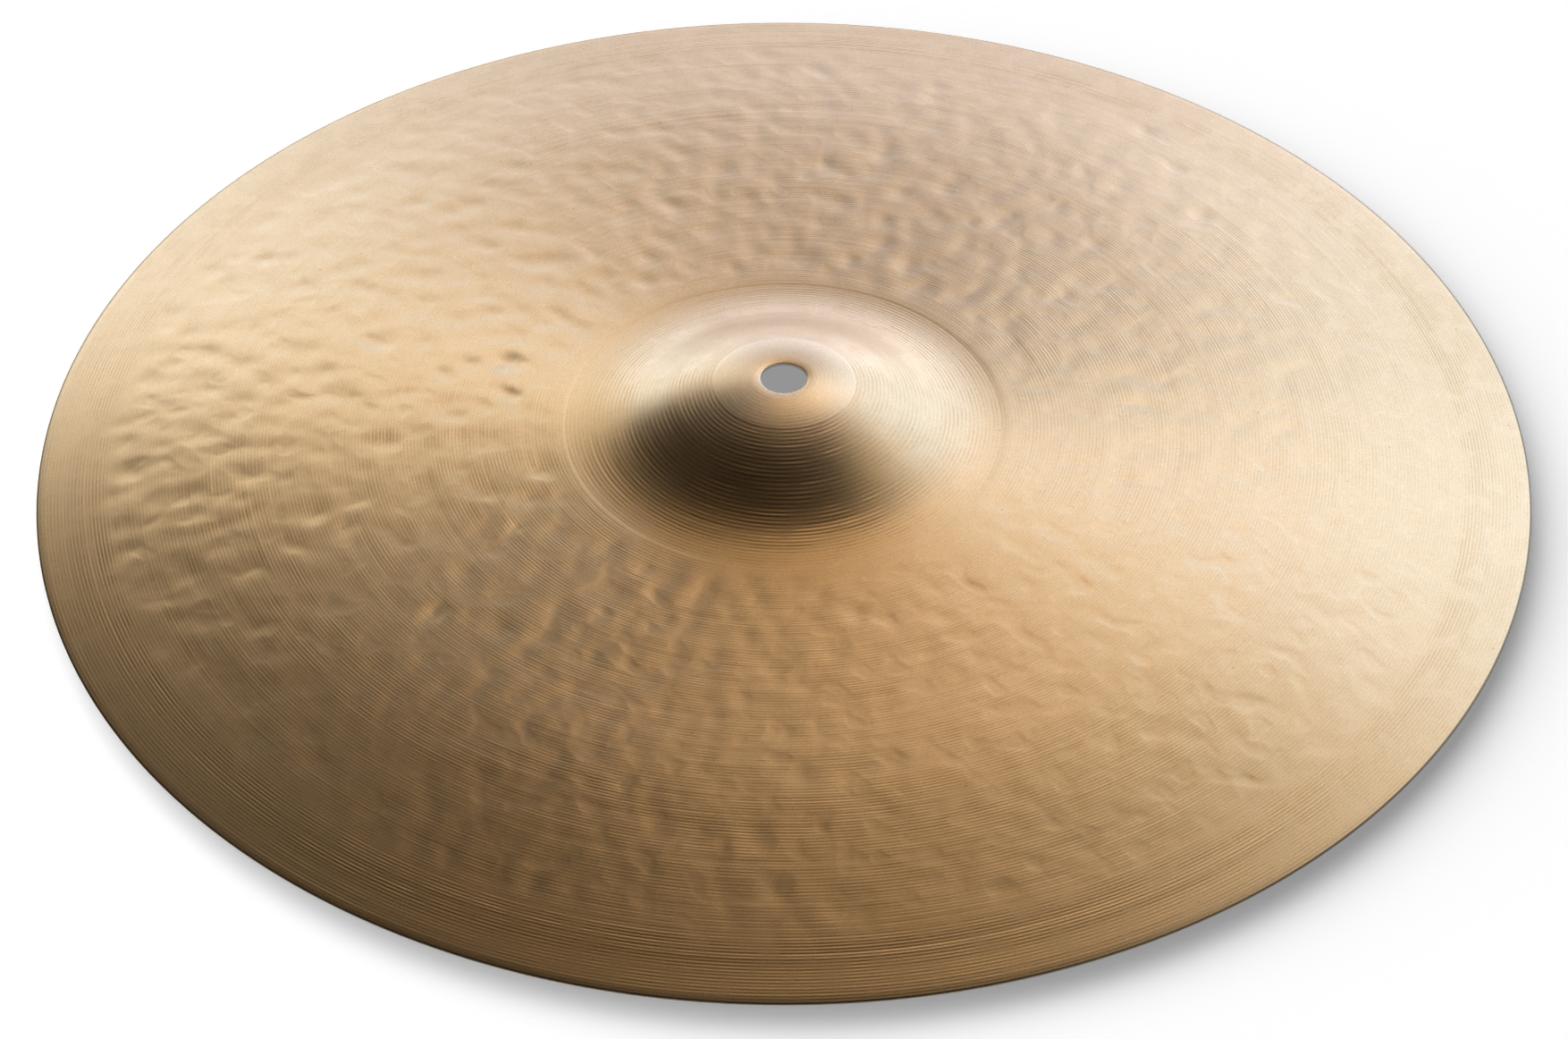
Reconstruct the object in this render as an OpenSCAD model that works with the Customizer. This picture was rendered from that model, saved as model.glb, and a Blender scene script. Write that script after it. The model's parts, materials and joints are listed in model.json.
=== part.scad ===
// Thin crash cymbal: one round plate of cast bronze, turned and hammered.
// The rim rests on z = 0 and the plate is round about the Z axis.

/* [Plate] */
// Diameter across the rim
plate_d = 431.8; // [390:0.1:560]
// Height that the bow climbs from the rim to the foot of the bell
bow_h = 18.8; // [15:0.1:28]
// Thickness of the rim band
rim_t = 0.7; // [0.65:0.05:1.4]
// Radius on the two corners of the rim
rim_round = 0.25; // [0.1:0.05:0.3]

/* [Bow] */
// Slope of the bow at the foot of the bell, in degrees
foot_slope = 1.3; // [0:0.1:4]
// Diameter where the flat inner bow starts to bend down
bend_in_d = 260; // [200:1:300]
// Slope of the bow where that bend starts, in degrees
bend_in_slope = 4.7; // [2:0.1:8]
// Diameter where the bend ends and the outer bow starts
bend_out_d = 336; // [310:1:350]
// Slope of the bow where the bend ends, in degrees
bend_out_slope = 10.5; // [6:0.1:14]

/* [Rim band] */
// Width of the smooth band along the rim
rim_band_w = 10; // [4:0.5:12]
// Width of the turned slope just inside the rim band
turned_w = 8; // [3:0.5:10]
// Height of the turned slope above the rim band
turned_step = 0.12; // [0.05:0.01:0.3]

/* [Bell] */
// Diameter of the bell at its foot
bell_d = 128.5; // [110:0.5:180]
// Width of the crease turned round the foot of the bell
crease_w = 2; // [0.5:0.1:4]
// Depth of the crease below the bow
crease_step = 0.14; // [0.05:0.01:0.2]
// Diameter where the hollow flare reaches the steep shoulder
shoulder_d = 80; // [72:0.5:100]
// Slope of the shoulder, in degrees
shoulder_slope = 29; // [20:0.5:38]
// Diameter where the shoulder turns into the dome
dome_d = 68; // [50:0.5:71]
// Thickness of the bell
bell_t = 1.1; // [0.9:0.05:2]

/* [Cap and hole] */
// Diameter of the raised cap round the hole
cap_d = 41; // [26:0.5:46]
// Slope of the bell at the cap's edge, in degrees
cap_slope = 15.2; // [8:0.1:19]
// Height of the cap's edge
cap_step = 0.12; // [0.05:0.01:0.3]
// Diameter of the centre hole
hole_d = 13.5; // [8:0.1:20]
// Slope of the cap at the hole, in degrees
hole_slope = 1.5; // [0:0.1:6]

/* [Hidden] */
bronze = [0.80, 0.64, 0.42];
$fn = 180;

// Straight steps that stand for each arc of the profile
skirt_steps = 5;
bend_steps = 8;
shelf_steps = 8;
band_steps = 2;
bell_steps = 12;
cap_steps = 5;
lip_steps = 4;

rim_r = plate_d / 2;
turned_out_r = rim_r - rim_band_w;
turned_in_r = turned_out_r - turned_w;
bend_out_r = bend_out_d / 2;
bend_in_r = bend_in_d / 2;
foot_r = bell_d / 2;
shoulder_r = shoulder_d / 2;
dome_r = dome_d / 2;
cap_r = cap_d / 2;
hole_r = hole_d / 2;

// The profile runs this far into the hole before the hole is drilled
drill_over = 1;

// An arc climbs its width times the tangent of its mean slope, so the outer bow's slope follows from the height
function climb(w, slope_a, slope_b) = w * tan((slope_a + slope_b) / 2);
inner_h = climb(bend_in_r - foot_r, foot_slope, bend_in_slope);
bend_h = climb(bend_out_r - bend_in_r, bend_in_slope, bend_out_slope);
skirt_w = rim_r - bend_out_r;
rim_slope = 2 * atan((bow_h - inner_h - bend_h) / skirt_w) - bend_out_slope;

// Along an arc the sine of the slope changes evenly with the radius
skirt_turn = (sin(rim_slope) - sin(bend_out_slope)) / skirt_w;
function skirt_slope(r) = asin(sin(rim_slope) - skirt_turn * (rim_r - r));

// The lip stands so that its outermost point is at the rim and its lowest at z = 0
lip_r = rim_r - rim_round * (1 - sin(rim_slope)) / (1 - rim_round * skirt_turn);
lip_slope = skirt_slope(lip_r);
lip_z = rim_round + (rim_t - rim_round) * cos(lip_slope);

// A station of the profile is [radius, height, slope], with the slope falling outwards
function arc(start, r_end, slope_end, steps) = [
    for (i = [1 : steps])
        let (
            r = start.x + (r_end - start.x) * i / steps,
            s = asin(sin(start[2]) + (sin(slope_end) - sin(start[2])) * i / steps)
        )
            [r, start.y + climb(start.x - r, start[2], s), s]
];
function cone(start, r_end) = arc(start, r_end, start[2], 1);
function last(list) = list[len(list) - 1];
function raised(stations, h) = [for (s = stations) [s.x, s.y + h, s[2]]];
function points(stations) = [for (s = stations) [s.x, s.y]];

// The form line of the plate, from the lip in to the hole, before the steps are turned
lip = [lip_r, lip_z, lip_slope];
band = concat([lip], arc(lip, turned_out_r, skirt_slope(turned_out_r), band_steps));
turned = arc(last(band), turned_in_r, skirt_slope(turned_in_r), 1);
skirt = arc(last(turned), bend_out_r, bend_out_slope, skirt_steps);
bend = arc(last(skirt), bend_in_r, bend_in_slope, bend_steps);
shelf = arc(last(bend), foot_r, foot_slope, shelf_steps);
bow = concat(turned, skirt, bend, shelf);
crease = cone(last(shelf), foot_r - crease_w);
flare = arc(last(crease), shoulder_r, shoulder_slope, bell_steps);
shoulder = cone(last(flare), dome_r);
dome = arc(last(shoulder), cap_r, cap_slope, bell_steps);
bell = concat(crease, flare, shoulder, dome);
crown = arc(last(dome), hole_r, hole_slope, cap_steps);
cap = concat(crown, cone(last(crown), hole_r - drill_over));

// The underside follows the form line at a depth that tapers from the bell to the rim band
function depth(r) = lookup(r, [[foot_r, bell_t - turned_step], [turned_out_r, rim_t]]);
under_line = [
    for (s = concat(band, bow, bell, cap))
        [s.x - depth(s.x) * sin(s[2]), s.y - depth(s.x) * cos(s[2])]
];

// The top is turned in three steps: up to the bow inside the rim band, down to the bell and up to the cap
bell_step = turned_step - crease_step;
top_line = concat(
    points(band),
    points(raised(bow, turned_step)),
    points(raised(bell, bell_step)),
    points(raised(concat([last(bell)], cap), bell_step + cap_step))
);

// A corner of the rim, rounded from one angle to the next about its centre
function corner(from_top, from_angle) =
    let (c = [lip_r - from_top * sin(lip_slope), lip_z - from_top * cos(lip_slope)])
        [
            for (i = [0 : lip_steps])
                let (a = from_angle - lip_slope + 90 * i / lip_steps)
                    c + rim_round * [cos(a), sin(a)]
        ];
lip_line = concat(
    corner(rim_t - rim_round, -90),
    corner(rim_round, 0)
);

function reversed(list) = [for (i = [len(list) - 1 : -1 : 0]) list[i]];
function without_first(list) = [for (i = [1 : len(list) - 1]) list[i]];

// The plate: its profile turned about the centre line, with the hole drilled through the cap
module cymbal() {
    color(bronze)
        difference() {
            rotate_extrude()
                polygon(concat(
                    reversed(without_first(under_line)),
                    lip_line,
                    without_first(top_line)
                ));
            cylinder(h = 2 * last(top_line).y, r = hole_r);
        }
}

cymbal();
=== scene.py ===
"""A thin crash cymbal: one plate of turned and hammered bronze, under softboxes on a white floor."""
import json
import math
import random

import bmesh
import bpy
import numpy as np
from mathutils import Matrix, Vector


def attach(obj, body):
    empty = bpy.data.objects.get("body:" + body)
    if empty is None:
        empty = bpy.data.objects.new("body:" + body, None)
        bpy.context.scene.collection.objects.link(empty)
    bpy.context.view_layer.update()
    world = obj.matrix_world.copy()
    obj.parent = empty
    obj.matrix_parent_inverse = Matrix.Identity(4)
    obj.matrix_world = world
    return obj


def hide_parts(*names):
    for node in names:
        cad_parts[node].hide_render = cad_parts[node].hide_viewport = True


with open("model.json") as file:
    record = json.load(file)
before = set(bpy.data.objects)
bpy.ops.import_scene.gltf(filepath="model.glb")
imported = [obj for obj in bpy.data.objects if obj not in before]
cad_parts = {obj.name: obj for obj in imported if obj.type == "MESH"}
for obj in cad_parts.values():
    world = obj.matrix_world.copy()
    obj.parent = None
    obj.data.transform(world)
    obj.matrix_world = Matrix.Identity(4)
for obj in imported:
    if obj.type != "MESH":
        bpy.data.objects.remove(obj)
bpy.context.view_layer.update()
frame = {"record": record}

MM = 0.001

# Sizes of the plate, as the solid has them
HOLE_R = frame["record"]["mounts"][0]["dims"]["r_mm"] * MM
RIM_R = 215.9 * MM
BOW_H = 18.8 * MM
RIM_T = 0.7 * MM
RIM_ROUND = 0.25 * MM
FOOT_SLOPE = math.radians(1.3)
BEND_IN_R = 130 * MM
BEND_IN_SLOPE = math.radians(4.7)
BEND_OUT_R = 168 * MM
BEND_OUT_SLOPE = math.radians(10.5)
TURNED_OUT_R = RIM_R - 10 * MM
TURNED_IN_R = TURNED_OUT_R - 8 * MM
TURNED_STEP = 0.12 * MM
FOOT_R = 64.25 * MM
CREASE_R = FOOT_R - 2 * MM
CREASE_STEP = 0.14 * MM
SHOULDER_R = 40 * MM
SHOULDER_SLOPE = math.radians(29)
DOME_R = 34 * MM
BELL_T = 1.1 * MM
CAP_R = 20.5 * MM
CAP_SLOPE = math.radians(15.2)
CAP_STEP = 0.12 * MM
HOLE_SLOPE = math.radians(1.5)

# Small forms that only the dressed plate has
HOLE_ROUND = 0.15 * MM
CAP_EDGE_W = 0.3 * MM
CAP_EDGE_H = 0.04 * MM

# Steps along each zone of the profile, on the upper and on the lower face, and round each corner
TOP_STEPS = {
    "band": 4, "turned": 4, "skirt": 16, "bend": 20, "shelf": 33, "crease": 3,
    "flare": 9, "shoulder": 2, "dome": 5, "cap": 5,
}
UNDER_STEPS = {
    "band": 1, "turned": 1, "skirt": 2, "bend": 3, "shelf": 4, "crease": 1,
    "flare": 3, "shoulder": 1, "dome": 2, "cap": 1,
}
CORNER_STEPS = 2

# Columns of the mesh round the plate, spun as one wedge that is then copied round
COLUMNS = 720
WEDGES = 16
# Points closer than this are one point
WELD = 0.001 * MM


# Profile of the plate

def climb(width, slope_a, slope_b):
    """Height that an arc climbs over a width, from the slopes at its two ends."""
    return width * math.tan((slope_a + slope_b) / 2)


def arc(start, r_end, slope_end, steps):
    """Stations (radius, height, slope) along an arc that leaves start, which isn't among them."""
    r0, z0, s0 = start
    out = []
    for i in range(1, steps + 1):
        share = i / steps
        r = r0 + (r_end - r0) * share
        s = math.asin(math.sin(s0) + (math.sin(slope_end) - math.sin(s0)) * share)
        out.append((r, z0 + climb(r0 - r, s0, s), s))
    return out


INNER_H = climb(BEND_IN_R - FOOT_R, FOOT_SLOPE, BEND_IN_SLOPE)
BEND_H = climb(BEND_OUT_R - BEND_IN_R, BEND_IN_SLOPE, BEND_OUT_SLOPE)
SKIRT_W = RIM_R - BEND_OUT_R
RIM_SLOPE = 2 * math.atan((BOW_H - INNER_H - BEND_H) / SKIRT_W) - BEND_OUT_SLOPE
SKIRT_TURN = (math.sin(RIM_SLOPE) - math.sin(BEND_OUT_SLOPE)) / SKIRT_W


def skirt_slope(r):
    """Slope of the outer bow at a radius."""
    return math.asin(math.sin(RIM_SLOPE) - SKIRT_TURN * (RIM_R - r))


LIP_R = RIM_R - RIM_ROUND * (1 - math.sin(RIM_SLOPE)) / (1 - RIM_ROUND * SKIRT_TURN)
LIP_SLOPE = skirt_slope(LIP_R)
LIP_Z = RIM_ROUND + (RIM_T - RIM_ROUND) * math.cos(LIP_SLOPE)


def form_line(steps):
    """The plate's form from the lip in to the hole, as zones of stations."""
    last = (LIP_R, LIP_Z, LIP_SLOPE)
    zones = {"lip": [last]}
    for name, r_end, slope_end in (
        ("band", TURNED_OUT_R, skirt_slope(TURNED_OUT_R)),
        ("turned", TURNED_IN_R, skirt_slope(TURNED_IN_R)),
        ("skirt", BEND_OUT_R, BEND_OUT_SLOPE),
        ("bend", BEND_IN_R, BEND_IN_SLOPE),
        ("shelf", FOOT_R, FOOT_SLOPE),
        ("crease", CREASE_R, FOOT_SLOPE),
        ("flare", SHOULDER_R, SHOULDER_SLOPE),
        ("shoulder", DOME_R, SHOULDER_SLOPE),
        ("dome", CAP_R, CAP_SLOPE),
        ("cap", HOLE_R + HOLE_ROUND, HOLE_SLOPE),
    ):
        zones[name] = arc(last, r_end, slope_end, steps[name])
        last = zones[name][-1]
    return zones


def raised(stations, *heights):
    """Stations lifted by one height, or by one that eases from the first to the second along them."""
    low, high = heights[0], heights[-1]
    out = []
    for i, (r, z, s) in enumerate(stations):
        left = 1 - (i + 1) / len(stations)
        out.append((r, z + high + (low - high) * left * left, s))
    return out


def round_corner(cx, cy, radius, start, stop):
    """Points of a rounded corner about (cx, cy), from one angle to the other."""
    turns = [start + (stop - start) * i / CORNER_STEPS for i in range(CORNER_STEPS + 1)]
    return [(cx + radius * math.cos(a), cy + radius * math.sin(a)) for a in turns]


def top_line():
    """Points of the upper face from the hole out to the lip, with the steps that were turned into it."""
    zones = form_line(TOP_STEPS)
    bell_step = TURNED_STEP - CREASE_STEP
    cap_step = bell_step + CAP_STEP
    line = zones["lip"] + zones["band"]
    line += raised(zones["turned"], 0, TURNED_STEP)
    line += raised(zones["skirt"] + zones["bend"] + zones["shelf"], TURNED_STEP)
    line += raised(zones["crease"], TURNED_STEP, bell_step)
    line += raised(zones["flare"] + zones["shoulder"], bell_step)
    line += raised(zones["dome"], bell_step, cap_step - CAP_EDGE_H)

    # Rings close to the cap's edge, on both sides of it, keep it crisp
    r, z, s = line.pop()
    for rings, rise in ((-1, 0), (0, 0), (1, CAP_EDGE_H), (2, CAP_EDGE_H)):
        inward = rings * CAP_EDGE_W
        line.append((r - inward, z + inward * math.tan(s) + rise, s))
    line += raised(zones["cap"], cap_step)
    return [(r, z) for r, z, s in reversed(line)]


def under_line():
    """Points of the lower face from the lip in to the hole."""
    zones = form_line(UNDER_STEPS)
    under_t = BELL_T - TURNED_STEP
    line = []
    for r, z, s in [station for zone in zones.values() for station in zone]:
        share = min(max((r - FOOT_R) / (TURNED_OUT_R - FOOT_R), 0), 1)
        depth = under_t + (RIM_T - under_t) * share
        line.append((r - depth * math.sin(s), z - depth * math.cos(s)))
    line[-1] = (HOLE_R + HOLE_ROUND, line[-1][1])
    return line


def lip_line():
    """Points round the lip, from its upper corner to its lower one."""
    line = []
    for depth, start in ((RIM_ROUND, math.pi / 2), (RIM_T - RIM_ROUND, 0)):
        cx = LIP_R - depth * math.sin(LIP_SLOPE)
        cy = LIP_Z - depth * math.cos(LIP_SLOPE)
        line += round_corner(cx, cy, RIM_ROUND, start - LIP_SLOPE, start - LIP_SLOPE - math.pi / 2)
    return line


def plate_outline():
    """The closed outline to spin, from the hole's lower edge, and the place of the lip's middle in it."""
    top = top_line()
    under = under_line()
    lip = lip_line()
    cx = HOLE_R + HOLE_ROUND
    low = round_corner(cx, under[-1][1] + HOLE_ROUND, HOLE_ROUND, -math.pi / 2, -math.pi)
    high = round_corner(cx, top[0][1] - HOLE_ROUND, HOLE_ROUND, math.pi, math.pi / 2)
    start = low + high + top[1:-1]
    return start + lip + under[1:-1], len(start) + len(lip) // 2


# Hammer marks

HAMMER_SEED = 17
# The marks lie on rings, this far apart along a ring and from ring to ring
HAMMER_STEP = 7 * MM
# How far a mark strays from its ring and along it, in steps
HAMMER_STRAY = 0.35
HAMMER_SHIFT = 0.5
# Least and greatest depth and half width of a mark, in millimetres
HAMMER_DEPTHS = (0.04, 0.20)
HAMMER_HALVES = (1.8, 3.0)
# A mark is drawn out to this many half widths
HAMMER_REACH = 3
# The marks are deepest on the side that lies this way, by this share
HAMMER_SIDE = math.radians(135)
HAMMER_LEAN = 0.5
# How deep the marks are along the radius, as (radius in millimetres, share)
HAMMER_ZONES = ((66, 0), (72, 1.2), (112, 1.2), (120, 1.1), (146, 1.1), (154, 1), (190, 1), (198, 0))
# Rows of the grid that the marks are drawn on, and how far they are blurred on the lower face
HAMMER_ROWS = 90
UNDER_BLUR = 5 * MM


def hammer_marks():
    """Dents as (radius, turn, depth, half width), ring by ring from the bell outwards."""
    rng = random.Random(HAMMER_SEED)
    zone_r, zone_share = zip(*HAMMER_ZONES)
    marks = []
    r = FOOT_R + HAMMER_STEP / 2
    while r < TURNED_IN_R:
        count = int(2 * math.pi * r / HAMMER_STEP)
        for i in range(count):
            at = r + rng.gauss(0, HAMMER_STRAY) * HAMMER_STEP
            turn = 2 * math.pi * (i + rng.uniform(-HAMMER_SHIFT, HAMMER_SHIFT)) / count
            lean = 1 + HAMMER_LEAN * math.cos(turn - HAMMER_SIDE)
            depth = rng.uniform(*HAMMER_DEPTHS) * MM * lean * np.interp(at / MM, zone_r, zone_share)
            half = rng.uniform(*HAMMER_HALVES) * MM
            marks.append((at, turn, depth, half))
        r += HAMMER_STEP
    return marks


def hammered(radii, blur):
    """Height of the hammered face at each radius and column, with the marks blurred along the radius."""
    turns = np.arange(COLUMNS) * 2 * np.pi / COLUMNS
    grid = np.zeros((len(radii), COLUMNS))
    for at, turn, depth, half in hammer_marks():
        half_r = math.hypot(half, blur)
        rows = np.nonzero(np.abs(radii - at) < HAMMER_REACH * half_r)[0]
        gap = (turns - turn + np.pi) % (2 * np.pi) - np.pi
        cols = np.nonzero(np.abs(gap) * at < HAMMER_REACH * half)[0]
        fall_r = np.exp(-0.5 * ((radii[rows] - at) / half_r) ** 2)
        fall_ring = np.exp(-0.5 * (gap[cols] * at / half) ** 2)
        grid[np.ix_(rows, cols)] -= depth * half / half_r * np.outer(fall_r, fall_ring)
    return grid


# The plate's mesh

# Two equal discs in opposite corners of a unit square touch at this radius; each is drawn a little smaller
DISC_R = 1 - math.sqrt(0.5)
DISC_FILL = 0.985


def put_in_scene(name, data):
    """A new object of the scene that holds the data."""
    made = bpy.data.objects.new(name, data)
    bpy.context.scene.collection.objects.link(made)
    return made


def mesh_object(name, bm):
    """An object of the scene, made from a finished bmesh."""
    mesh = bpy.data.meshes.new(name)
    bm.to_mesh(mesh)
    bm.free()
    return put_in_scene(name, mesh)


def spin_outline(bm, outline):
    """Spins the closed outline into the plate; each vertex keeps its way along the outline."""
    path = bm.verts.layers.float.new("path")
    verts = [bm.verts.new((r, 0, z)) for r, z in outline]
    pairs = list(zip(verts, verts[1:] + verts[:1]))
    reach = 0.0
    for v, after in pairs:
        v[path] = reach
        reach += (after.co - v.co).length
    edges = [bm.edges.new(pair) for pair in pairs]
    wedge = 2 * math.pi / WEDGES
    rest = 2 * math.pi - wedge
    about = {"cent": (0, 0, 0), "axis": (0, 0, 1)}
    bmesh.ops.spin(bm, geom=verts + edges, angle=wedge, steps=COLUMNS // WEDGES, **about)
    first = bm.verts[:] + bm.edges[:] + bm.faces[:]
    bmesh.ops.spin(bm, geom=first, angle=rest, steps=WEDGES - 1, use_duplicate=True, **about)
    bmesh.ops.remove_doubles(bm, verts=bm.verts, dist=WELD)
    bmesh.ops.recalc_face_normals(bm, faces=bm.faces)
    return path, reach


def map_discs(bm, path, reach, lip_reach):
    """A bake map of two discs, the upper and the lower face, that keeps the lengths along the outline."""
    uv = bm.loops.layers.uv.new("OFBake")
    scale = DISC_R * DISC_FILL / (HOLE_R + max(lip_reach, reach - lip_reach))
    for face in bm.faces:
        upper = max(v[path] for v in face.verts) <= lip_reach + WELD
        middle = DISC_R if upper else 1 - DISC_R
        for loop in face.loops:
            p = loop.vert[path]
            out = p if upper else (reach - p) % reach
            way = loop.vert.co.xy.normalized()
            loop[uv].uv = way * (HOLE_R + out) * scale + Vector((middle, middle))


def hammer_plate(bm, path, lip_reach):
    """Sinks the hammer marks into the upper face, and softer ones into the lower."""
    radii = np.linspace(FOOT_R, RIM_R, HAMMER_ROWS)
    upper = hammered(radii, 0)
    lower = hammered(radii, UNDER_BLUR)
    step = radii[1] - radii[0]
    for v in bm.verts:
        r = v.co.xy.length
        if r > FOOT_R:
            grid = upper if v[path] <= lip_reach else lower
            row = min(int((r - FOOT_R) / step), len(radii) - 2)
            share = (r - radii[row]) / step
            col = round(math.atan2(v.co.y, v.co.x) / (2 * math.pi) * COLUMNS) % COLUMNS
            v.co.z += grid[row, col] * (1 - share) + grid[row + 1, col] * share


def build_plate():
    """The plate as an object, with its bake map and its hammer marks."""
    outline, lip_at = plate_outline()
    bm = bmesh.new()
    path, reach = spin_outline(bm, outline)
    lip_reach = sum(math.dist(a, b) for a, b in zip(outline[:lip_at], outline[1:lip_at + 1]))
    map_discs(bm, path, reach, lip_reach)
    hammer_plate(bm, path, lip_reach)
    for face in bm.faces:
        face.smooth = True
    return mesh_object("bronze_plate", bm)


# Directions

def direction(azimuth, elevation):
    """The way from the plate to a place in the studio; azimuth 0 is +X and 90 the far side."""
    a, e = math.radians(azimuth), math.radians(elevation)
    return Vector((math.cos(e) * math.cos(a), math.cos(e) * math.sin(a), math.sin(e)))


# Nodes of materials and lights

def new_material(name):
    """A material, its node tree and its shader."""
    material = bpy.data.materials.new(name)
    material.use_nodes = True
    tree = material.node_tree
    return material, tree, tree.nodes["Principled BSDF"]


def add(tree, kind, inputs=None, **settings):
    """A node with its settings, its inputs linked where they are sockets and set where they are values."""
    node = tree.nodes.new("ShaderNode" + kind)
    for key, value in settings.items():
        setattr(node, key, value)
    for key, value in (inputs or {}).items():
        if isinstance(value, bpy.types.NodeSocket):
            tree.links.new(value, node.inputs[key])
        else:
            node.inputs[key].default_value = value
    return node


def number(tree, operation, *values):
    """The result of an operation on numbers."""
    return add(tree, "Math", dict(enumerate(values)), operation=operation).outputs[0]


def vector(tree, operation, *values):
    """The result of an operation on vectors, which is a number for a length or a dot product."""
    node = add(tree, "VectorMath", dict(enumerate(values)), operation=operation)
    return node.outputs["Value" if operation in ("LENGTH", "DOT_PRODUCT") else "Vector"]


def scaled(tree, value, factor):
    """A vector or a colour times a number."""
    return add(tree, "VectorMath", {0: value, "Scale": factor}, operation="SCALE").outputs["Vector"]


def smooth_range(tree, value, low, high, to_low=0.0, to_high=1.0):
    """The value eased from one range to another and held at its ends."""
    inputs = {"Value": value, "From Min": low, "From Max": high, "To Min": to_low, "To Max": to_high}
    return add(tree, "MapRange", inputs, interpolation_type="SMOOTHSTEP").outputs[0]


def mixed(tree, factor, first, second, blend="MIX"):
    """Two colours mixed; inputs 6 and 7 and output 2 are the node's colours."""
    inputs = {"Factor": factor, 6: first, 7: second}
    return add(tree, "Mix", inputs, data_type="RGBA", blend_type=blend).outputs[2]


# The bronze

BRONZE = (0.81, 0.645, 0.46, 1)
# Painted shade: a warmer, more saturated tone on the side that faces this way, where the plate lies in shade;
# it grows as the plate turns to that side
SHADED_SIDE_TINT = (0.86, 0.62, 0.355, 1)
SHADED_SIDE_WAY = 243
SHADED_SIDE_FADE = (-0.2, 0.85)
# Painted shade and dirt in the grooves' floors, and how strongly a full groove takes it
GROOVE_SHADE = (0.87, 0.83, 0.76, 1)
GROOVE_TINT = 0.25
BELL_SHADE = (0.90, 0.875, 0.86, 1)
CAP_TONE = (0.78, 0.635, 0.47, 1)
# A stain round the hole, which fades in between two radii along an uneven edge
STAIN = (0.64, 0.44, 0.24, 1)
STAIN_RADII = (10.6 * MM, 9.4 * MM)
STAIN_WANDER = 5 * MM
STAIN_SHARE = 0.1
# Painted shade and dark reflection on the lip, which darkens between two radii
LIP_SHADE = (0.14, 0.10, 0.06, 1)
LIP_RADII = (RIM_R - 0.7 * MM, RIM_R - 0.3 * MM)
LIP_SHARE = 0.85
# Specks: cells with a chance number in the first range hold one, of a size in the second range
SPECK = (0.30, 0.18, 0.08, 1)
SPECKS_PER_M = 80
SPECK_RANGE = (0.7, 1.0, 0.0, 0.025)
SPECK_SHARE = 0.45
# Fine grain of the colour, and by how much it varies
GRAIN_PER_M = 2600
GRAIN_SPAN = 0.5
# Roughness and stretch of the highlights on the bell and on the bow
BELL_FINISH = (0.36, 0.60)
BOW_FINISH = (0.40, 0.81)
# A quarter turn lets the highlights stretch along the radius
STRETCH_TURN = 0.25
GROOVE_PITCH = 1.0 * MM
BELL_PITCH = 1.17 * MM
GROOVE_SLOPE = 0.08
SCORED_RINGS = (31.5 * MM, 63.9 * MM, 186 * MM)
SCORED_W = 0.35 * MM
SCORED_SLOPE = 0.05
# Small marks of the hammer across the bow, in layers of so many to the metre
MARK_LAYERS = (115, 150)
MARK_DEPTH = 0.05 * MM
# A mark sinks from the second value of the noise to the first
MARK_RANGE = (0.22, 0.46, -1.0, 0.0)
# The marks fade out towards the bell and the rim from these radii
MARKS_IN_R = 74 * MM
MARKS_OUT_R = 186 * MM
# Noise along the rings, as (grain per radian, grain per metre, detail)
DRIFT_GRAIN = (0.8, 40.0, 1.0)
PATCH_GRAIN = (5.0, 110.0, 2.0)
FINE_GRAIN = (1.5, 1400.0, 2.0)
STAIN_GRAIN = (3.0, 400.0, 2.0)
# How far the grooves drift, in radians, and how much finer lines add to them
DRIFT = 7.0
FINE_SPAN = 2.6
# Strength of the grooves from patch to patch, and inside the small marks
PATCH_RANGE = (0.34, 0.66, 0.8, 1.2)
MISSED_RANGE = (-0.5, 0.0, 0.5, 1.1)
# How deep the grooves are from the hole out to the rim, as (radius in millimetres, share)
GROOVE_ZONES = (
    (8, 0.25), (20, 0.3), (21, 0.9), (30, 1.3), (48, 1.3), (60, 0.8), (64, 0.75), (72, 0.8),
    (115, 0.8), (120, 0.7), (146, 0.7), (150, 0.9), (168, 0.9), (172, 0.7), (195, 0.7),
    (198, 1.8), (205, 1.8), (207, 1.1), (215, 1.1),
)
# The share that the top of the groove curve stands for
GROOVE_FULL = 2.5


def groove_depth(tree, radius):
    """Share of the full groove at each radius."""
    curve = add(tree, "FloatCurve", {"Value": number(tree, "DIVIDE", radius, RIM_R)})
    line = curve.mapping.curves[0]
    while len(line.points) < len(GROOVE_ZONES):
        line.points.new(0.5, 0.5)
    for point, (r, share) in zip(line.points, GROOVE_ZONES):
        point.location = (r * MM / RIM_R, share / GROOVE_FULL)
        point.handle_type = "VECTOR"
    curve.mapping.update()
    return number(tree, "MULTIPLY", curve.outputs[0], GROOVE_FULL)


def ring_noise(tree, way, radius, along, across, detail):
    """Noise stretched along the rings: along is its grain per radian, across its grain per metre."""
    rise = add(tree, "CombineXYZ", {"Z": number(tree, "MULTIPLY", radius, across)}).outputs[0]
    where = vector(tree, "ADD", scaled(tree, way, along), rise)
    return add(tree, "TexNoise", {"Vector": where, "Scale": 1.0, "Detail": detail}).outputs["Fac"]


def scored_slope(tree, radius, scored_r):
    """Slope of one thin line scored round the plate."""
    away = number(tree, "DIVIDE", number(tree, "SUBTRACT", radius, scored_r), SCORED_W)
    square = number(tree, "MULTIPLY", away, away)
    fall = number(tree, "EXPONENT", number(tree, "MULTIPLY", square, -0.5))
    return number(tree, "MULTIPLY", number(tree, "MULTIPLY", away, fall), SCORED_SLOPE)


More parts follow.
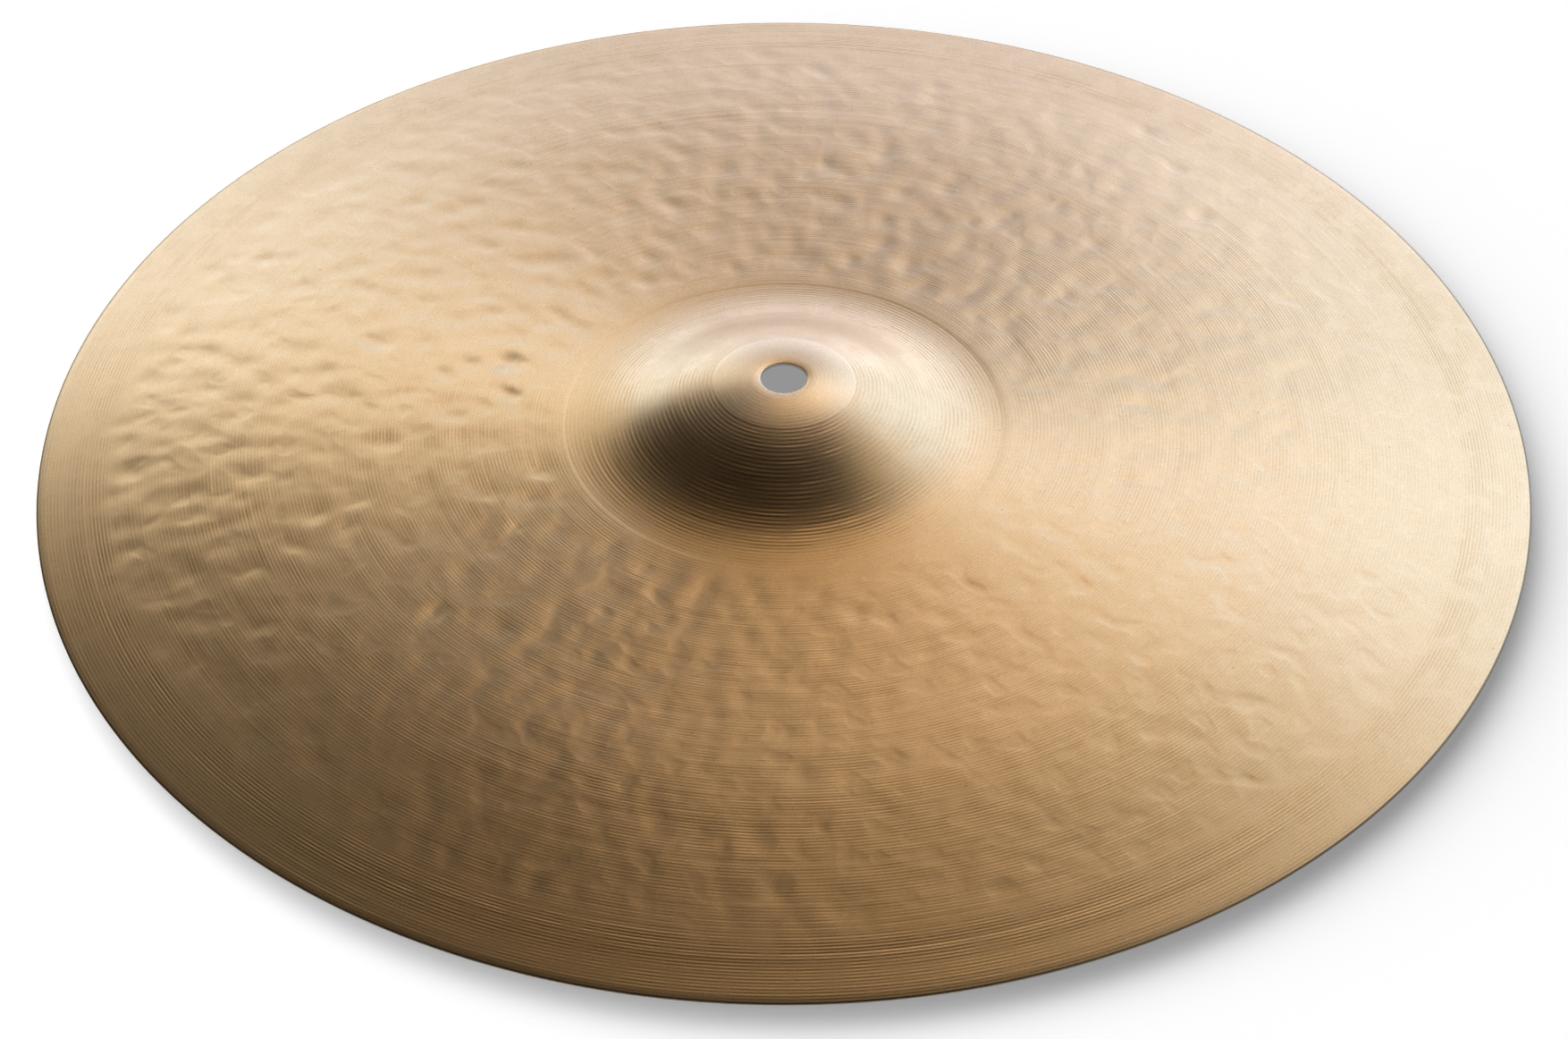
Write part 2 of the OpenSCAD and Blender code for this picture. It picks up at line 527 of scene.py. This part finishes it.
def small_marks(tree, flat):
    """Height of the small marks, which sink where the noise of a layer is low."""
    height = 0.0
    for per_m in MARK_LAYERS:
        noise = add(tree, "TexNoise", {"Vector": flat, "Scale": per_m, "Detail": 0.0}).outputs["Fac"]
        height = number(tree, "ADD", height, smooth_range(tree, noise, *MARK_RANGE))
    return height


def grooves(tree, way, radius, peened):
    """Phase of the turning tool's grooves, and their strength, which is less inside a small mark."""
    on_bow = number(tree, "GREATER_THAN", radius, FOOT_R)
    pitch = number(tree, "MULTIPLY_ADD", on_bow, GROOVE_PITCH - BELL_PITCH, BELL_PITCH)
    turns = number(tree, "DIVIDE", radius, pitch)
    drift = number(tree, "MULTIPLY", ring_noise(tree, way, radius, *DRIFT_GRAIN), DRIFT)
    phase = number(tree, "ADD", number(tree, "MULTIPLY", turns, 2 * math.pi), drift)
    patches = smooth_range(tree, ring_noise(tree, way, radius, *PATCH_GRAIN), *PATCH_RANGE)
    missed = smooth_range(tree, peened, *MISSED_RANGE)
    strength = number(tree, "MULTIPLY", number(tree, "MULTIPLY", patches, missed), groove_depth(tree, radius))
    return phase, strength


def turned_normal(tree, way, radius, phase, strength, peened):
    """The normal over the small marks, leant along the radius by the grooves and the scored rings."""
    fine = ring_noise(tree, way, radius, *FINE_GRAIN)
    fine = number(tree, "MULTIPLY_ADD", fine, FINE_SPAN, -FINE_SPAN / 2)
    wave = number(tree, "ADD", number(tree, "COSINE", phase), fine)
    slope = number(tree, "MULTIPLY", number(tree, "MULTIPLY", wave, strength), GROOVE_SLOPE)
    for scored_r in SCORED_RINGS:
        slope = number(tree, "ADD", slope, scored_slope(tree, radius, scored_r))
    off_bell = smooth_range(tree, radius, FOOT_R, MARKS_IN_R)
    off_rim = smooth_range(tree, radius, TURNED_IN_R, MARKS_OUT_R)
    height = number(tree, "MULTIPLY", number(tree, "MULTIPLY", peened, off_bell), off_rim)
    marked = add(tree, "Bump", {"Strength": 1.0, "Distance": MARK_DEPTH, "Height": height}).outputs["Normal"]
    return vector(tree, "NORMALIZE", vector(tree, "ADD", marked, scaled(tree, way, slope)))


def bronze_colour(tree, place, flat, way, radius, phase, strength):
    """Colour of the bronze: painted shade as a warmer tone on one side and in the groove floors, bell, cap,
    stain, painted shade on the lip, specks and grain.
    """
    # Painted shade: a warmer, more saturated tone on the side of the plate that lies in shade
    side = vector(tree, "DOT_PRODUCT", way, direction(SHADED_SIDE_WAY, 0))
    off_cap = smooth_range(tree, radius, CAP_R, SHOULDER_R)
    side_shade = number(tree, "MULTIPLY", smooth_range(tree, side, *SHADED_SIDE_FADE), off_cap)
    colour = mixed(tree, side_shade, BRONZE, SHADED_SIDE_TINT)

    # Painted shade and dirt in the floors of the grooves
    floor = number(tree, "MULTIPLY_ADD", number(tree, "SINE", phase), GROOVE_TINT, GROOVE_TINT)
    floor = number(tree, "MULTIPLY", floor, strength)
    colour = mixed(tree, floor, colour, GROOVE_SHADE, "MULTIPLY")

    on_bell = smooth_range(tree, radius, CREASE_R, SHOULDER_R)
    colour = mixed(tree, on_bell, colour, BELL_SHADE, "MULTIPLY")
    on_cap = number(tree, "LESS_THAN", radius, CAP_R)
    colour = mixed(tree, on_cap, colour, CAP_TONE)

    edge = ring_noise(tree, way, radius, *STAIN_GRAIN)
    edge = number(tree, "MULTIPLY_ADD", edge, STAIN_WANDER, radius)
    stain = smooth_range(tree, edge, *STAIN_RADII, 0.0, STAIN_SHARE)
    colour = mixed(tree, stain, colour, STAIN)
    # Painted shade and dark reflection on the lip's edge
    lip = smooth_range(tree, radius, *LIP_RADII, 0.0, LIP_SHARE)
    colour = mixed(tree, lip, colour, LIP_SHADE)

    cells = add(tree, "TexVoronoi", {"Vector": flat, "Scale": SPECKS_PER_M}, voronoi_dimensions="2D").outputs
    chance = add(tree, "SeparateXYZ", {0: cells["Color"]}).outputs["X"]
    speck = number(tree, "LESS_THAN", cells["Distance"], smooth_range(tree, chance, *SPECK_RANGE))
    colour = mixed(tree, number(tree, "MULTIPLY", speck, SPECK_SHARE), colour, SPECK)

    grain = add(tree, "TexNoise", {"Vector": place, "Scale": GRAIN_PER_M, "Detail": 1.0}).outputs["Fac"]
    shade = number(tree, "MULTIPLY_ADD", grain, GRAIN_SPAN, 1 - GRAIN_SPAN / 2)
    return scaled(tree, colour, shade)


def bronze_finish():
    """Turned bronze: grooves in its normal and its colour, and highlights that stretch along the radius."""
    material, tree, shader = new_material("turned_bronze")
    place = add(tree, "TexCoord").outputs["Object"]
    flat = vector(tree, "MULTIPLY", place, (1, 1, 0))
    radius = vector(tree, "LENGTH", flat)
    way = vector(tree, "NORMALIZE", flat)
    peened = small_marks(tree, flat)
    phase, strength = grooves(tree, way, radius, peened)
    normal = turned_normal(tree, way, radius, phase, strength, peened)
    colour = bronze_colour(tree, place, flat, way, radius, phase, strength)
    tree.links.new(normal, shader.inputs["Normal"])
    tree.links.new(colour, shader.inputs["Base Color"])

    # The bell was left smoother than the bow
    for socket, bell_value, bow_value in zip(("Roughness", "Anisotropic"), BELL_FINISH, BOW_FINISH):
        value = smooth_range(tree, radius, SHOULDER_R, FOOT_R, bell_value, bow_value)
        tree.links.new(value, shader.inputs[socket])

    shader.inputs["Metallic"].default_value = 1.0
    shader.inputs["Anisotropic Rotation"].default_value = STRETCH_TURN
    tangent = add(tree, "Tangent", direction_type="RADIAL", axis="Z")
    tree.links.new(tangent.outputs[0], shader.inputs["Tangent"])
    return material


# Stage

FLOOR_GAP = 9 * MM
FLOOR_HALF = 20
FLOOR_WHITE = (0.85, 0.85, 0.85, 1)
FLOOR_GLOW = 0.30
# The floor's light: the way to it as azimuth and elevation, its breadth and its level
SUN_WAY = (180, 47)
SUN_ANGLE = math.radians(98)
SUN_LEVEL = 3.55
# How far the panels stand from the plate, and the share of a panel over which its light eases off
BOX_DISTANCE = 2.2
BOX_EDGE = 0.4
WHITE = (1.0, 1.0, 1.0)
COOL_WHITE = (0.86, 1.0, 1.15)
FAR_WHITE = (0.95, 1.0, 1.21)
WARM_WHITE = (1.0, 0.88, 0.64)
GOLD_WHITE = (1.0, 0.73, 0.45)
# Panels as (name, azimuth, elevation, width, height, radiance, tint), with all angles in degrees
PANELS = (
    ("right_box", 51, 24, 64, 76, 1.69, COOL_WHITE),
    ("right_side", 14, 36, 45, 70, 0.82, WARM_WHITE),
    ("back_top", 81, 50, 31, 33, 1.95, GOLD_WHITE),
    ("back_low", 84, 13, 52, 24, 2.96, FAR_WHITE),
    ("left_low", 115, 12, 44, 30, 2.45, COOL_WHITE),
    ("left_high", 110, 32, 32, 20, 1.65, WARM_WHITE),
    ("near_right", 318, 15, 64, 30, 1.4, WHITE),
    ("near_left", 262, 14, 60, 28, 0.4, WHITE),
    ("left_side", 196, 14, 70, 28, 0.3, WHITE),
)
# The camera that took the photograph, in its pixels, and the sensor that stands for it
PHOTO_W = 1754
FOCAL_PX = 7500
CAMERA_Y = -1.4697
CAMERA_ABOVE_RIM = 1.2704
CAMERA_PITCH = 0.71983
SENSOR_W = 36


def white_floor():
    """A plain floor with a faint glow of its own, which the floor itself doesn't see."""
    bm = bmesh.new()
    bmesh.ops.create_grid(bm, x_segments=1, y_segments=1, size=FLOOR_HALF)
    bmesh.ops.translate(bm, verts=bm.verts, vec=(0, 0, -FLOOR_GAP))
    floor = mesh_object("floor", bm)
    material, tree, shader = new_material("white_floor")
    shader.inputs["Base Color"].default_value = FLOOR_WHITE
    shader.inputs["Roughness"].default_value = 1.0
    shader.inputs["Specular IOR Level"].default_value = 0.0
    shader.inputs["Emission Color"].default_value = (*WHITE, 1)
    rays = add(tree, "LightPath").outputs
    seen = number(tree, "MAXIMUM", rays["Is Camera Ray"], rays["Is Transmission Ray"])
    seen = number(tree, "MAXIMUM", seen, rays["Is Glossy Ray"])
    tree.links.new(number(tree, "MULTIPLY", seen, FLOOR_GLOW), shader.inputs["Emission Strength"])
    floor.data.materials.append(material)


def soft_edges(light):
    """Lets the light of a panel ease off towards its edges, as through a diffuser."""
    light.use_nodes = True
    tree = light.node_tree
    place = add(tree, "SeparateXYZ", {0: add(tree, "NewGeometry").outputs["Parametric"]}).outputs
    level = 1.0
    for side in ("X", "Y"):
        inward = number(tree, "MINIMUM", place[side], number(tree, "SUBTRACT", 1.0, place[side]))
        level = number(tree, "MULTIPLY", smooth_range(tree, inward, 0.0, BOX_EDGE), level)
    tree.links.new(level, tree.nodes["Emission"].inputs["Strength"])


def softbox(name, azimuth, elevation, wide, tall, radiance, tint):
    """A panel that faces the plate, placed and sized by the angles that it fills."""
    light = bpy.data.lights.new(name, "AREA")
    light.shape = "RECTANGLE"
    light.size = 2 * BOX_DISTANCE * math.tan(math.radians(wide) / 2)
    light.size_y = 2 * BOX_DISTANCE * math.tan(math.radians(tall) / 2)
    light.energy = math.pi * light.size * light.size_y * radiance
    light.color = tint
    soft_edges(light)
    box = put_in_scene(name, light)
    way = direction(azimuth, elevation)
    box.location = way * BOX_DISTANCE
    box.rotation_euler = way.to_track_quat("Z", "Y").to_euler()
    box.visible_camera = False
    box.visible_diffuse = False


def floor_sun():
    """A broad soft light from the upper left that only the floor sees."""
    light = bpy.data.lights.new("floor_sun", "SUN")
    light.angle = SUN_ANGLE
    light.energy = SUN_LEVEL
    light.cycles.use_multiple_importance_sampling = False
    sun = put_in_scene("floor_sun", light)
    sun.rotation_euler = direction(*SUN_WAY).to_track_quat("Z", "Y").to_euler()
    sun.visible_glossy = False
    sun.visible_camera = False


def studio():
    """Softboxes that the metal mirrors, the light of the floor and a dark room."""
    for panel in PANELS:
        softbox(*panel)
    floor_sun()
    world = bpy.data.worlds.new("studio")
    world.use_nodes = True
    world.node_tree.nodes["Background"].inputs["Color"].default_value = (0, 0, 0, 1)
    bpy.context.scene.world = world


def photo_camera():
    """The photograph's camera, over the near side of the plate."""
    data = bpy.data.cameras.new("photo_camera")
    data.sensor_fit = "HORIZONTAL"
    data.sensor_width = SENSOR_W
    data.lens = SENSOR_W * FOCAL_PX / PHOTO_W
    camera = put_in_scene("photo_camera", data)
    camera.location = (0, CAMERA_Y, RIM_T + CAMERA_ABOVE_RIM)
    camera.rotation_euler = (math.pi / 2 - CAMERA_PITCH, 0, 0)
    bpy.context.scene.camera = camera


# The scene

photo_camera()
plate = build_plate()
plate.data.materials.append(bronze_finish())
plate.visible_diffuse = False
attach(plate, "root")
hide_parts("cymbal")
white_floor()
studio()
bpy.context.scene.view_settings.view_transform = "Standard"
